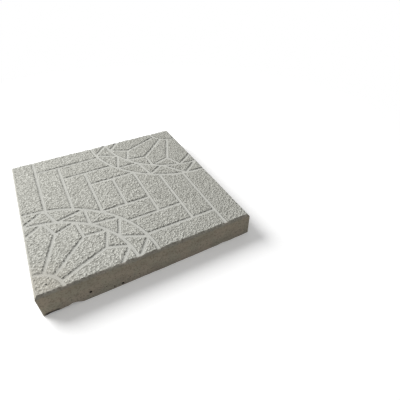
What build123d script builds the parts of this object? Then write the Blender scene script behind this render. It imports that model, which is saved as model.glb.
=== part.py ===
import os
from math import atan2, cos, degrees, radians, sin, sqrt, tan

from build123d import *

# A square paving slab, cast face down in a mould as one piece of concrete.
# The walking face shows brick courses that run in steps between two quarter
# rosettes of small stones, one in each of two opposite corners. The joints
# between the stones are shallow grooves, left by the ribs of the mould.
# The slab lies on z = 0 with its walking face up and its middle on the Z axis.

# Slab
pitch = 50  # from one brick joint to the next
courses = 8  # brick widths along a side
thickness = 50
bevel_width = 4.5  # bevel round the walking face, seen from above
bevel_height = 5
pattern_shift_x = -3.4  # the ribs lie a little off the middle of the mould
pattern_shift_y = -2.4

# Joints
joint_floor = 5  # width at the bottom
joint_depth = 2
joint_draft = 45  # degrees by which each wall leans out of upright

# Rosettes, as radii about the corner of the pattern
disc_radius = 49.5
notch_radius = 141  # where neighbouring petals part
band_radius = 173  # the petals' tips, and the inside of the outer band
rim_radius = 211

# Angles within each rosette, in degrees from the slab's edge. The ribs of such
# a mould are laid by hand, so they are not quite even.
near_feet = (20.4, 40.2, 62.3)  # where the petals' joints leave the disc
near_notches = (22.2, 44.3, 66.8)
near_petal_tips = (12.7, 33.5, 56.6, 76.7)
near_band_roots = (23.0, 46.1, 68.4)
near_band_tips = (12.2, 34.1, 55.7, 77.1)
far_feet = (21.8, 45.9, 67.8)
far_notches = (22.1, 44.9, 66.9)
far_petal_tips = (10.2, 32.9, 55.3, 77.0)
far_band_roots = (22.1, 42.8, 62.0)
far_band_tips = (10.6, 33.5, 56.3, 78.7)

# Worked out from the sizes above
quarter = 90
full_turn = 360
side = courses * pitch
joint_level = thickness - joint_depth
rib_height = 2 * joint_depth  # the mould's ribs are drawn taller than they press in
rib_back = joint_floor + 2 * rib_height * tan(radians(joint_draft))  # their width at that height
overrun = bevel_width + joint_floor + joint_depth  # how far ribs run on past the slab
bevel_lean = degrees(atan2(bevel_width, bevel_height))


def polar(radius, angle):
    """A point about a rosette's own corner, at the level of the joints' floor."""
    return Vector(radius * cos(radians(angle)), radius * sin(radians(angle)), joint_level)


def rib_section(plane):
    """The section of a rib, which widens from the joint's floor up."""
    with BuildSketch(plane) as section:
        Trapezoid(rib_back, rib_height, quarter + joint_draft, align=(Align.CENTER, Align.MIN))
    return section.sketch


def rib(start, end, past_end=0):
    """A straight rib from point to point, and on past its end."""
    run = end - start
    across = Vector(0, 0, 1).cross(run)
    extrude(rib_section(Plane(start, x_dir=across, z_dir=run)), amount=run.length + past_end)


def ring_rib(radius):
    """A rib along a circle about the rosette's corner."""
    section = rib_section(Plane(polar(radius, 0), x_dir=(1, 0, 0), z_dir=(0, -1, 0)))
    revolve(section, axis=Axis.Z, revolution_arc=full_turn)


def zigzag_ribs(inner_radius, roots, outer_radius, tips):
    """Ribs that swing between two radii. The first and the last run out over a slab edge."""
    starts = [polar(outer_radius, angle) for angle in tips]
    for start, root, next_start in zip(starts, roots, starts[1:]):
        rib(start, polar(inner_radius, root))
        rib(polar(inner_radius, root), next_start)
    rib(starts[0], polar(inner_radius, 0), past_end=overrun)
    rib(starts[-1], polar(inner_radius, quarter), past_end=overrun)


def rosette_ribs(feet, notches, petal_tips, band_roots, band_tips):
    """The ribs of a rosette that fills the quarter x, y > 0."""
    for radius in (disc_radius, band_radius, rim_radius):
        ring_rib(radius)
    for foot, notch in zip(feet, notches):
        rib(polar(disc_radius, foot), polar(notch_radius, notch))
    zigzag_ribs(notch_radius, notches, band_radius, petal_tips)
    zigzag_ribs(band_radius, band_roots, rim_radius, band_tips)


def rim_reach(run):
    """How far in from a slab edge the rim stands at this distance along the edge."""
    return sqrt(max(rim_radius**2 - run**2, 0))


def course_ribs():
    """The ribs of the brick joints that end on one rosette's rim, and the ones they meet."""
    for course in range(1, courses // 2):
        run = course * pitch
        top = side - run + pitch
        rib(
            Vector(run, rim_reach(run), joint_level),
            Vector(run, top, joint_level),
            past_end=overrun if course == 1 else 0,
        )
        rib(
            Vector(run, top - pitch, joint_level),
            Vector(side - rim_reach(run), top - pitch, joint_level),
        )


# The mould's ribs, drawn about the near and the far corner of the pattern
with BuildPart() as near_ribs:
    rosette_ribs(near_feet, near_notches, near_petal_tips, near_band_roots, near_band_tips)
    course_ribs()
with BuildPart() as far_ribs:
    rosette_ribs(far_feet, far_notches, far_petal_tips, far_band_roots, far_band_tips)
    course_ribs()
with BuildPart() as middle_rib:
    rib(Vector(0, -pitch, joint_level), Vector(0, pitch, joint_level))

near_corner = Location((pattern_shift_x - side / 2, pattern_shift_y - side / 2))
far_corner = Location((pattern_shift_x + side / 2, pattern_shift_y + side / 2), (0, 0, 180))
middle = Location((pattern_shift_x, pattern_shift_y))

with BuildPart() as paving_slab:
    with BuildSketch():
        Rectangle(side, side)
    extrude(amount=thickness - bevel_height)
    with BuildSketch(Plane.XY.offset(thickness - bevel_height)):
        Rectangle(side, side)
    extrude(amount=bevel_height, taper=bevel_lean)
    for place, ribs in ((near_corner, near_ribs), (far_corner, far_ribs), (middle, middle_rib)):
        with Locations(place):
            add(ribs.part, mode=Mode.SUBTRACT)

paving_slab.part.label = "paving_slab"
os.makedirs("parts", exist_ok=True)
export_step(paving_slab.part, "parts/paving_slab.step")
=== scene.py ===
import bpy
import math
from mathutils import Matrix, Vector, noise


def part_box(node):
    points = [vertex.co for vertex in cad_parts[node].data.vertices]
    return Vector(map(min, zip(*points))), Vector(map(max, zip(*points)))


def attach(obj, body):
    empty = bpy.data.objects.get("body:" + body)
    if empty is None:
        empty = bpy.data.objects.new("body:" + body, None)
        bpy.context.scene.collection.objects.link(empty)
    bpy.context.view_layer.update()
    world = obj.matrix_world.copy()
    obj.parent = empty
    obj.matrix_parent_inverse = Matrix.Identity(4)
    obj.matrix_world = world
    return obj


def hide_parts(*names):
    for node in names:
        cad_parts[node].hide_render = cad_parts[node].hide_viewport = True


# A cast concrete paving slab on a white floor, in soft light from behind on the left.
# Lengths are in metres. The slab's mesh comes from the frame and is roughened here.

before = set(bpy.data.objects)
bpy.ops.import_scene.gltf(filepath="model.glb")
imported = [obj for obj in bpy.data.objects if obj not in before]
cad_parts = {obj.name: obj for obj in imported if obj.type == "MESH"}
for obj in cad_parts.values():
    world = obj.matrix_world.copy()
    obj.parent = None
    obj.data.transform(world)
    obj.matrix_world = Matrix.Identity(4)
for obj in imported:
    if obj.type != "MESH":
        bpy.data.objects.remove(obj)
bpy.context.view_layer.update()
slabLow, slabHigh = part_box("paving_slab")
halfSide = slabHigh[0]
faceLevel = slabHigh[2]
print("frame loaded, walking face at", round(faceLevel, 4))


def selectOnly(piece):
    bpy.ops.object.select_all(action="DESELECT")
    piece.select_set(True)
    bpy.context.view_layer.objects.active = piece


def applyModifiers(piece):
    selectOnly(piece)
    for modifier in list(piece.modifiers):
        bpy.ops.object.modifier_apply(modifier=modifier.name)


def countTriangles(piece):
    return sum(len(face.vertices) - 2 for face in piece.data.polygons)


def easeBetween(low, high, value):
    share = min(max((value - low) / (high - low), 0), 1)
    return share * share * (3 - 2 * share)


# the slab, as a finely divided copy of the cast shape
slab = {
    "mergeDistance": 0.00001,
    "octreeDepth": 9,
    "octreeScale": 0.52,  # with the depth, cells of about 1.5 mm
    "jointLevel": faceLevel - 0.002,
    "bevelFoot": faceLevel - 0.005,
    "bevelTop": 0.0045 - halfSide,  # y of the near edge of the face
    "triangles": 192000,
    "plainThinning": 3,  # how much more the plain parts are thinned
    "smoothAngle": 50,
}

# relief that the mould and the pour leave: size of one bump, height from low to high
relief = {
    "stoneWave": {"kind": "CLOUDS", "size": 0.035, "height": 0.0006, "depth": 1,
                  "group": "stones"},
    "stoneGrain": {"kind": "VORONOI", "size": 0.0043, "height": -0.0017, "middle": 0.38,
                   "group": "stones"},
    "stoneFine": {"kind": "CLOUDS", "size": 0.0024, "height": 0.0009, "depth": 0,
                  "group": "stones"},
    "jointWave": {"kind": "CLOUDS", "size": 0.006, "height": 0.0003, "depth": 1,
                  "group": "joints"},
    "sideWave": {"kind": "CLOUDS", "size": 0.060, "height": 0.0016, "depth": 1,
                 "group": "sides"},
    "sideFine": {"kind": "CLOUDS", "size": 0.009, "height": 0.0004, "depth": 2,
                 "group": "sides"},
    "bevel": {"kind": "CLOUDS", "size": 0.0045, "height": 0.0012, "depth": 1,
              "group": "bevel"},
    "underside": {"kind": "CLOUDS", "size": 0.020, "height": -0.0010, "depth": 2, "middle": 0,
                  "group": "underside"},
}

# where each kind of relief fades in or out: from, to
zones = {
    "stoneStart": (slab["jointLevel"] + 0.0005, faceLevel - 0.0003),  # heights
    "jointStart": (slab["bevelFoot"], slab["jointLevel"]),
    "bevelStart": (slab["bevelFoot"] - 0.001, slab["bevelFoot"] + 0.001),
    "sideEnd": (slab["bevelFoot"] - 0.002, slab["bevelFoot"] + 0.002),
    "undersideEnd": (0.0002, 0.001),
    "bevelDepth": (0.0045, 0.006),  # distances in from the sides
    "sideDepth": (0.0005, 0.002),
    "undersideStart": (0.004, 0.02),
    "nearSideDepth": 0.001,
    "holeEdge": (0.5, 1.6),  # shares of a hole's radius
}

# the mould's soft walls give way under the pour, and the bottom edge breaks up
edges = {
    "belly": 0.0020,  # how far a side swells out at the bottom
    "bellyReach": 0.012,  # how far in the underside stretches with it
    "bellyPower": 5,  # how suddenly it dies away towards the corners
    "wearDepth": 0.007,
    "wearSize": 0.018,
    "wearRise": 0.0010,
    "wearHeight": 0.014,
    "wearFrom": (0.0, 0.6),  # noise at which wear starts and is full
    "chipDepth": 0.0105,  # how far in from the near side the breaks are cut
    "chipFrom": (0, 0.8),  # share of a break's reach at which it starts and is full
}

# places where the near bottom edge is broken away: along x, reach to each side, rise
brokenEdge = [
    {"place": -0.183, "reach": 0.013, "rise": 0.0026},
    {"place": -0.160, "reach": 0.022, "rise": 0.0034},
    {"place": -0.148, "reach": 0.014, "rise": 0.0036},
    {"place": 0.143, "reach": 0.014, "rise": 0.0012},
]

# air holes on the near side: x, height, radius
airHoles = [
    (-0.1211, 0.0143, 0.0020),
    (-0.0669, 0.0045, 0.0018),
    (-0.0819, 0.0060, 0.0010),
    (-0.0950, 0.0120, 0.0006),
    (-0.0610, 0.0095, 0.0007),
    (-0.0533, 0.0126, 0.0009),
    (-0.0490, 0.0020, 0.0007),
    (-0.0355, 0.0122, 0.0008),
]
airHoleDepth = 0.0022
facePit = {"place": (-0.1793, -0.1812), "radius": 0.0014}
gapShadow = {"from": -0.199, "to": -0.171, "height": 0.0068}  # painted shadow: a dark line low on the near side, for the shade in the gap under the broken edge


def addFineCopy():
    selectOnly(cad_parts["paving_slab"])
    bpy.ops.object.duplicate()
    piece = bpy.context.object
    piece.name = "slab"
    bpy.ops.object.mode_set(mode="EDIT")
    bpy.ops.mesh.select_all(action="SELECT")
    bpy.ops.mesh.remove_doubles(threshold=slab["mergeDistance"])
    bpy.ops.mesh.normals_make_consistent(inside=False)
    bpy.ops.object.mode_set(mode="OBJECT")
    fine = piece.modifiers.new("fine", "REMESH")
    fine.mode = "SHARP"
    fine.octree_depth = slab["octreeDepth"]
    fine.scale = slab["octreeScale"]
    fine.use_remove_disconnected = True
    applyModifiers(piece)
    print("fine copy:", countTriangles(piece), "triangles")
    return piece


def fromSides(spot):
    return halfSide - max(abs(spot.x), abs(spot.y))


def edgeRise(spot):
    worn = noise.noise(Vector((spot.x, spot.y, 0)) / edges["wearSize"])
    rise = edges["wearRise"] * easeBetween(*edges["wearFrom"], worn)
    if spot.y < -halfSide + edges["chipDepth"]:
        for chip in brokenEdge:
            share = 1 - abs(spot.x - chip["place"]) / chip["reach"]
            rise = rise + chip["rise"] * easeBetween(*edges["chipFrom"], share)
    return rise


def swell(across, along, height):
    # outward push at a place on a side: nothing at the corners and at the bevel's foot
    inward = halfSide - abs(across)
    if inward > edges["bellyReach"]:
        return 0
    middle = 1 - abs(along / halfSide) ** edges["bellyPower"]
    low = 1 - easeBetween(0, slab["bevelFoot"], height)
    push = edges["belly"] * middle * low * (1 - inward / edges["bellyReach"])
    return math.copysign(push, across)


def shapeSides(piece):
    for vertex in piece.data.vertices:
        spot = vertex.co.copy()
        if spot.z > slab["bevelFoot"]:
            continue
        inward = fromSides(spot)
        vertex.co.x += swell(spot.x, spot.y, spot.z)
        vertex.co.y += swell(spot.y, spot.x, spot.z)
        if spot.z < edges["wearHeight"] and inward < edges["wearDepth"]:
            fall = (1 - spot.z / edges["wearHeight"]) * (1 - inward / edges["wearDepth"])
            vertex.co.z += edgeRise(spot) * fall
    piece.data.update()


def restOnFloor(piece):
    for vertex in piece.data.vertices:
        vertex.co.z = max(vertex.co.z, 0)
    piece.data.update()


def nearHole(away, radius):
    start, end = zones["holeEdge"]
    return 1 - easeBetween(radius * start, radius * end, away)


def holeShare(spot):
    share = 0
    if spot.y < -halfSide + zones["nearSideDepth"]:
        for place, height, radius in airHoles:
            away = math.hypot(spot.x - place, spot.z - height)
            share = max(share, nearHole(away, radius))
    if spot.z > slab["jointLevel"]:
        away = (spot.xy - Vector(facePit["place"])).length
        share = max(share, nearHole(away, facePit["radius"]))
    return share


def reliefShares(spot):
    inward = fromSides(spot)
    stones = easeBetween(*zones["stoneStart"], spot.z)
    joints = (1 - stones) * easeBetween(*zones["jointStart"], spot.z)
    bevel = easeBetween(*zones["bevelStart"], spot.z)
    bevel = bevel * (1 - easeBetween(*zones["bevelDepth"], inward))
    sides = 1 - easeBetween(*zones["sideEnd"], spot.z)
    sides = sides * (1 - easeBetween(*zones["sideDepth"], inward))
    underside = 1 - easeBetween(*zones["undersideEnd"], spot.z)
    underside = underside * easeBetween(*zones["undersideStart"], inward)
    return {"stones": stones, "joints": joints, "bevel": bevel, "sides": sides,
            "underside": underside, "holes": holeShare(spot)}


def weighVertices(piece):
    names = ("stones", "joints", "bevel", "sides", "underside", "holes", "plain")
    groups = {name: piece.vertex_groups.new(name=name) for name in names}
    for vertex in piece.data.vertices:
        shares = reliefShares(vertex.co)
        shares["plain"] = vertex.co.z < zones["sideEnd"][0] and shares["holes"] == 0
        for name, share in shares.items():
            if share > 0:
                groups[name].add([vertex.index], share, "REPLACE")


def displace(piece, name, group, strength, texture=None, midLevel=0.5):
    layer = piece.modifiers.new(name, "DISPLACE")
    layer.vertex_group = group
    layer.strength = strength
    layer.direction = "NORMAL"
    layer.mid_level = midLevel
    if texture:
        layer.texture = texture
        layer.texture_coords = "LOCAL"
    applyModifiers(piece)


# depth of the grain's hollows, which the material darkens as painted shade
def markHollows(piece, texture):
    depths = piece.data.attributes.new("hollows", "FLOAT", "POINT")
    for vertex in piece.data.vertices:
        depths.data[vertex.index].value = texture.evaluate(vertex.co)[3]


def roughen(piece, name):
    layer = relief[name]
    texture = bpy.data.textures.new(name, layer["kind"])
    texture.noise_scale = layer["size"]
    if layer["kind"] == "CLOUDS":
        texture.noise_depth = layer["depth"]
    if name == "stoneGrain":
        markHollows(piece, texture)
    displace(piece, name, layer["group"], layer["height"], texture, layer.get("middle", 0.5))


def thinOut(piece):
    thin = piece.modifiers.new("thin", "DECIMATE")
    thin.ratio = min(1, slab["triangles"] / countTriangles(piece))
    thin.vertex_group = "plain"
    thin.vertex_group_factor = slab["plainThinning"]
    applyModifiers(piece)


slabPiece = addFineCopy()
weighVertices(slabPiece)
for name in relief:
    roughen(slabPiece, name)
displace(slabPiece, "airHoles", "holes", -airHoleDepth, midLevel=0)
shapeSides(slabPiece)
restOnFloor(slabPiece)
print("relief laid on")

thinOut(slabPiece)
restOnFloor(slabPiece)
selectOnly(slabPiece)
bpy.ops.object.shade_smooth_by_angle(angle=math.radians(slab["smoothAngle"]))
topCount = sum(1 for vertex in slabPiece.data.vertices if vertex.co.z > slab["bevelFoot"])
print("slab:", countTriangles(slabPiece), "triangles,", topCount, "vertices on the face")


# node helpers: a value is a number, a colour or another node's socket
def setInput(tree, socket, value):
    if isinstance(value, bpy.types.NodeSocket):
        tree.links.new(value, socket)
    else:
        socket.default_value = value


def addNode(tree, kind, **inputs):
    node = tree.nodes.new(kind)
    for name, value in inputs.items():
        setInput(tree, node.inputs[name.replace("_", " ")], value)
    return node


def ramp(tree, value, low, high, toLow=0.0, toHigh=1.0):
    node = addNode(tree, "ShaderNodeMapRange", Value=value, From_Min=low, From_Max=high,
                   To_Min=toLow, To_Max=toHigh)
    node.interpolation_type = "SMOOTHSTEP"
    return node.outputs["Result"]


def calculate(tree, operation, first, second):
    node = tree.nodes.new("ShaderNodeMath")
    node.operation = operation
    setInput(tree, node.inputs[0], first)
    setInput(tree, node.inputs[1], second)
    return node.outputs["Value"]


def blend(tree, share, first, second):
    node = tree.nodes.new("ShaderNodeMix")
    node.data_type = "RGBA"
    setInput(tree, node.inputs[0], share)
    setInput(tree, node.inputs[6], first)
    setInput(tree, node.inputs[7], second)
    return node.outputs[2]


def near(tree, start, spot, inside, outside):
    node = tree.nodes.new("ShaderNodeVectorMath")
    node.operation = "DISTANCE"
    tree.links.new(start, node.inputs[0])
    node.inputs[1].default_value = spot
    return ramp(tree, node.outputs["Value"], inside, outside, 1.0, 0.0)


def clouds(tree, place, size, detail=2.0):
    node = addNode(tree, "ShaderNodeTexNoise", Vector=place, Scale=1 / size, Detail=detail)
    return node.outputs["Fac"]


def streaks(tree, place, sizes):
    stretch = addNode(tree, "ShaderNodeMapping", Vector=place, Scale=[1 / size for size in sizes])
    return clouds(tree, stretch.outputs["Vector"], 1.0)


def grains(tree, place, size):
    return addNode(tree, "ShaderNodeTexVoronoi", Vector=place, Scale=1 / size).outputs["Distance"]


# concrete, as colours of the dry stone, with darker tones laid on as painted shade
concrete = {
    "stone": (0.700, 0.700, 0.643, 1),
    "stoneShade": (0.360, 0.357, 0.320, 1),
    "joint": (0.545, 0.545, 0.505, 1),
    "patch": (0.300, 0.300, 0.260, 1),
    "side": (0.435, 0.402, 0.350, 1),
    "sideGreen": (0.395, 0.388, 0.335, 1),
    # dark mottling of the sides, also laid on as painted shade near their top
    "sideDark": (0.220, 0.208, 0.178, 1),
    "warmStain": (0.470, 0.420, 0.340, 1),
    # near black: painted shade in the air holes, the face pit and the gap low on the near side
    "paintedShade": (0.020, 0.018, 0.015, 1),
    "roughness": 0.9,
    "specular": 0.3,
}

# colours laid over the stones and the sides in turn: where they start and are full, how much
grainSize = 0.0031
# the stones darken in the hollows of their relief and between the grains: painted shade in the
# low parts
stoneLayers = [
    {"kind": "hollows", "span": (0.3, 0.7), "share": 0.7, "colour": "stoneShade"},
    {"kind": "grains", "size": grainSize, "span": (0.4, 0.8), "share": 1.0, "colour": "stoneShade"},
    # stones darker towards the right: painted shade for the light falling off away from the left
    {"kind": "across", "span": (-0.05, halfSide), "share": 0.35, "colour": "stoneShade"},
]
sideLayers = [
    {"kind": "clouds", "size": 0.026, "detail": 3, "span": (0.42, 0.58), "share": 1.0,
     "colour": "sideGreen"},
    {"kind": "streaks", "size": (0.030, 0.030, 0.010), "span": (0.45, 0.7), "share": 0.35,
     "colour": "sideDark"},
    {"kind": "clouds", "size": 0.0028, "detail": 2, "span": (0.48, 0.66), "share": 0.75,
     "colour": "sideDark"},
    # sides and near bevel darker towards the top: painted shade that evens out the light on the
    # sides
    {"kind": "height", "span": (0, faceLevel), "share": 0.35, "colour": "sideDark"},
]

# where one part's look gives way to the next, as heights unless said otherwise
limits = {
    "joint": (slab["jointLevel"] + 0.0005, slab["jointLevel"] + 0.0011),
    "side": (slab["bevelFoot"] - 0.001, slab["bevelFoot"] + 0.0005),
    # the near bevel takes the sides' mottled colour, darker than the other bevels: painted shade
    # on the bevel that faces away from the light
    "nearBevelShade": (slab["bevelTop"] - 0.0004, slab["bevelTop"] + 0.0002),  # along y
    "nearSide": (0.006 - halfSide, 0.008 - halfSide),  # along y
    "jointFoot": (slab["jointLevel"], slab["jointLevel"] + 0.0010),
    "grainRise": (-halfSide, 0.1),  # along x
    "stain": (0.02, 0.09),  # away from the near left corner
}

# marks that lie on top
marks = {
    "patch": {"size": 0.05, "detail": 3, "span": (0.3, 0.7), "share": 0.10},
    "stainShare": 0.35,
    "paintedShade": (0.9, 1.5),  # edge of the painted shade in a hole, as shares of its radius
    "pitShade": (0.6, 1.4),
    "pitLevel": faceLevel - 0.001,
    "pitShadeShare": 0.7,
    "gapShadowEnds": 0.6,  # share of its length that is dark in full
    "gapShadowTop": 0.7,
    "gapShadowShare": 0.9,
}

# relief too fine for the mesh: distance is its height
fineRelief = {
    "footDistance": 0.0008,
    "grainDistance": 0.0017,
    "grainShares": (0.8, 1.3),  # from the left to the right of the slab
    "sandSize": 0.0012,
    "sandStrength": 0.25,
    "sandDistance": 0.0005,
}


def tone(tree, place, layer):
    if layer["kind"] == "hollows":
        node = tree.nodes.new("ShaderNodeAttribute")
        node.attribute_name = "hollows"
        return node.outputs["Fac"]
    if layer["kind"] == "grains":
        return grains(tree, place, layer["size"])
    if layer["kind"] == "clouds":
        return clouds(tree, place, layer["size"], layer["detail"])
    if layer["kind"] == "streaks":
        return streaks(tree, place, layer["size"])
    axes = {"across": "X", "height": "Z"}
    return addNode(tree, "ShaderNodeSeparateXYZ", Vector=place).outputs[axes[layer["kind"]]]


def layTones(tree, place, colour, layers):
    for layer in layers:
        share = ramp(tree, tone(tree, place, layer), *layer["span"], 0.0, layer["share"])
        colour = blend(tree, share, colour, concrete[layer["colour"]])
    return colour


def faceColour(tree, place, joint):
    stone = layTones(tree, place, concrete["stone"], stoneLayers)
    colour = blend(tree, joint, stone, concrete["joint"])
    patch = marks["patch"]
    patches = clouds(tree, place, patch["size"], patch["detail"])
    share = ramp(tree, patches, *patch["span"], 0.0, patch["share"])
    colour = blend(tree, share, colour, concrete["patch"])
    corner = near(tree, place, (-halfSide, -halfSide, faceLevel), *limits["stain"])
    share = calculate(tree, "MULTIPLY", corner, marks["stainShare"])
    return blend(tree, share, colour, concrete["warmStain"])


# painted shade inside the air holes on the near side
def holeShadeMarks(tree, place, along):
    nearSide = addNode(tree, "ShaderNodeCombineXYZ", X=along["X"], Z=along["Z"])
    start, end = marks["paintedShade"]
    paintedShade = 0.0
    for x, z, radius in airHoles:
        spot = near(tree, nearSide.outputs["Vector"], (x, 0, z), radius * start, radius * end)
        paintedShade = calculate(tree, "MAXIMUM", paintedShade, spot)
    return paintedShade


# painted shade in the pit on the face
def pitShadeMark(tree, place):
    start, end = marks["pitShade"]
    spot = facePit["place"] + (marks["pitLevel"],)
    pitShade = near(tree, place, spot, facePit["radius"] * start, facePit["radius"] * end)
    return calculate(tree, "MULTIPLY", pitShade, marks["pitShadeShare"])


# painted shadow along the bottom of the near side, under the broken edge
def gapShadowMark(tree, along):
    middle = (gapShadow["from"] + gapShadow["to"]) / 2
    reach = (gapShadow["to"] - gapShadow["from"]) / 2
    line = addNode(tree, "ShaderNodeCombineXYZ", X=along["X"]).outputs["Vector"]
    gap = near(tree, line, (middle, 0, 0), reach * marks["gapShadowEnds"], reach)
    top = gapShadow["height"]
    low = ramp(tree, along["Z"], top * marks["gapShadowTop"], top, 1.0, 0.0)
    return calculate(tree, "MULTIPLY", gap, low)


# painted shade in the holes, the face pit and the gap under the broken edge
def paintedShadeMarks(tree, place, along):
    onNearSide = ramp(tree, along["Y"], *limits["nearSide"], 1.0, 0.0)
    paintedShade = calculate(tree, "MULTIPLY", holeShadeMarks(tree, place, along), onNearSide)
    paintedShade = calculate(tree, "MAXIMUM", paintedShade, pitShadeMark(tree, place))
    share = calculate(tree, "MULTIPLY", onNearSide, marks["gapShadowShare"])
    gap = calculate(tree, "MULTIPLY", gapShadowMark(tree, along), share)
    return calculate(tree, "MAXIMUM", paintedShade, gap)


def fineNormal(tree, place, along, plainArea):
    # a softer foot narrows the dark walls of the joints
    foot = ramp(tree, along["Z"], *limits["jointFoot"])
    bumpFoot = addNode(tree, "ShaderNodeBump", Strength=1.0,
                       Distance=fineRelief["footDistance"], Height=foot)
    bumpFoot.invert = True
    onStone = calculate(tree, "SUBTRACT", 1.0, plainArea)
    grain = calculate(tree, "MULTIPLY", grains(tree, place, grainSize), onStone)
    rise = ramp(tree, along["X"], *limits["grainRise"], *fineRelief["grainShares"])
    grain = calculate(tree, "MULTIPLY", grain, rise)
    bumpGrain = addNode(tree, "ShaderNodeBump", Strength=1.0,
                        Distance=fineRelief["grainDistance"], Height=grain,
                        Normal=bumpFoot.outputs["Normal"])
    bumpGrain.invert = True
    sand = clouds(tree, place, fineRelief["sandSize"])
    bumpSand = addNode(tree, "ShaderNodeBump", Strength=fineRelief["sandStrength"],
                       Distance=fineRelief["sandDistance"], Height=sand,
                       Normal=bumpGrain.outputs["Normal"])
    return bumpSand.outputs["Normal"]


def makeConcrete():
    material = bpy.data.materials.new("concrete")
    material.use_nodes = True
    tree = material.node_tree
    shader = tree.nodes["Principled BSDF"]
    shader.inputs["Roughness"].default_value = concrete["roughness"]
    shader.inputs["Specular IOR Level"].default_value = concrete["specular"]

    place = tree.nodes.new("ShaderNodeTexCoord").outputs["Object"]
    along = addNode(tree, "ShaderNodeSeparateXYZ", Vector=place).outputs
    joint = ramp(tree, along["Z"], *limits["joint"], 1.0, 0.0)
    side = ramp(tree, along["Z"], *limits["side"], 1.0, 0.0)
    # the near bevel gets the sides' darker tone as painted shade
    nearBevelShade = ramp(tree, along["Y"], *limits["nearBevelShade"], 1.0, 0.0)
    side = calculate(tree, "MAXIMUM", side, nearBevelShade)

    # pale, smooth joints between darker stones with painted shade in their hollows, and sides
    # mottled brown and green, with painted shade near their top and on the near bevel
    colour = faceColour(tree, place, joint)
    sideTone = layTones(tree, place, concrete["side"], sideLayers)
    colour = blend(tree, side, colour, sideTone)
    # painted shade in the holes, the pit and the gap
    colour = blend(tree, paintedShadeMarks(tree, place, along), colour, concrete["paintedShade"])
    tree.links.new(colour, shader.inputs["Base Color"])

    plainArea = calculate(tree, "MAXIMUM", joint, side)
    normal = fineNormal(tree, place, along, plainArea)
    tree.links.new(normal, shader.inputs["Normal"])
    return material


slabPiece.data.materials.clear()
slabPiece.data.materials.append(makeConcrete())
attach(slabPiece, "root")
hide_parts("paving_slab")
print("slab finished")

# white floor, which keeps the slab's shadow
floorLook = {
    "size": 8,
    "bounce": (0.71, 0.62, 0.49, 1),
    "seen": (1, 1, 1, 1),
    "glow": 0.18,
    "fadeFrom": 0.5,  # beyond this distance the floor turns plain white
    "fadeTo": 1.0,
}


def seenRays(tree):
    # 1 where a ray comes from the camera, a reflection or through glass
    path = tree.nodes.new("ShaderNodeLightPath")
    seen = path.outputs["Is Camera Ray"]
    for ray in ("Is Glossy Ray", "Is Transmission Ray"):
        seen = calculate(tree, "MAXIMUM", seen, path.outputs[ray])
    return seen


def mixShaders(tree, share, first, second):
    mix = tree.nodes.new("ShaderNodeMixShader")
    tree.links.new(share, mix.inputs["Fac"])
    tree.links.new(first, mix.inputs[1])
    tree.links.new(second, mix.inputs[2])
    return mix.outputs["Shader"]


def floorFade(tree):
    place = tree.nodes.new("ShaderNodeTexCoord")
    away = tree.nodes.new("ShaderNodeVectorMath")
    away.operation = "LENGTH"
    tree.links.new(place.outputs["Object"], away.inputs[0])
    fade = addNode(tree, "ShaderNodeMapRange", Value=away.outputs["Value"],
                   From_Min=floorLook["fadeFrom"], From_Max=floorLook["fadeTo"])
    return fade.outputs["Result"]


def makeFloorWhite():
    material = bpy.data.materials.new("floor")
    material.use_nodes = True
    tree = material.node_tree
    tree.nodes.clear()
    dull = addNode(tree, "ShaderNodeBsdfDiffuse", Color=floorLook["bounce"])
    bright = addNode(tree, "ShaderNodeBsdfDiffuse", Color=floorLook["seen"])
    glow = addNode(tree, "ShaderNodeEmission", Strength=floorLook["glow"])
    lifted = tree.nodes.new("ShaderNodeAddShader")
    tree.links.new(bright.outputs["BSDF"], lifted.inputs[0])
    tree.links.new(glow.outputs["Emission"], lifted.inputs[1])
    white = tree.nodes.new("ShaderNodeEmission").outputs["Emission"]
    farOff = mixShaders(tree, floorFade(tree), lifted.outputs["Shader"], white)
    surface = mixShaders(tree, seenRays(tree), dull.outputs["BSDF"], farOff)
    output = tree.nodes.new("ShaderNodeOutputMaterial")
    tree.links.new(surface, output.inputs["Surface"])
    return material


def addFloor():
    bpy.ops.object.select_all(action="DESELECT")
    bpy.ops.mesh.primitive_plane_add(size=floorLook["size"], location=(0, 0, 0))
    floor = bpy.context.object
    floor.name = "floor"
    floor.data.materials.append(makeFloorWhite())


addFloor()

# light
light = {
    "towards": (-0.63, 0.84, 0.86),
    "distance": 4.0,
    "size": 2.6,
    "watts": 193,
    "sky": 0.33,
    "skyColour": (1, 1, 1, 1),
}


def addLamp():
    towards = Vector(light["towards"]).normalized()
    lamp = bpy.data.lights.new("key", "AREA")
    lamp.shape = "DISK"
    lamp.size = light["size"]
    lamp.energy = light["watts"]
    key = bpy.data.objects.new("key", lamp)
    key.location = towards * light["distance"]
    key.rotation_euler = towards.to_track_quat("Z", "Y").to_euler()
    bpy.context.scene.collection.objects.link(key)


def addSky():
    world = bpy.data.worlds.new("studio")
    bpy.context.scene.world = world
    world.use_nodes = True
    tree = world.node_tree
    background = tree.nodes["Background"]
    background.inputs["Color"].default_value = light["skyColour"]
    strength = addNode(tree, "ShaderNodeMapRange", Value=seenRays(tree),
                       To_Min=light["sky"], To_Max=1)
    tree.links.new(strength.outputs["Result"], background.inputs["Strength"])


addLamp()
addSky()

# camera
view = {
    "place": (-0.1132, -0.5632, 0.4791),
    "turn": (50.045, -0.231, -28.67),  # degrees
    "focalPixels": 321.8,
    "framePixels": 400,
    "sensor": 36,
}


def addCamera():
    data = bpy.data.cameras.new("camera")
    data.sensor_width = view["sensor"]
    data.lens = view["focalPixels"] / view["framePixels"] * view["sensor"]
    camera = bpy.data.objects.new("camera", data)
    camera.location = view["place"]
    camera.rotation_euler = [math.radians(angle) for angle in view["turn"]]
    bpy.context.scene.collection.objects.link(camera)
    bpy.context.scene.camera = camera
    bpy.context.scene.view_settings.view_transform = "Standard"


addCamera()
print("floor, light and camera set")
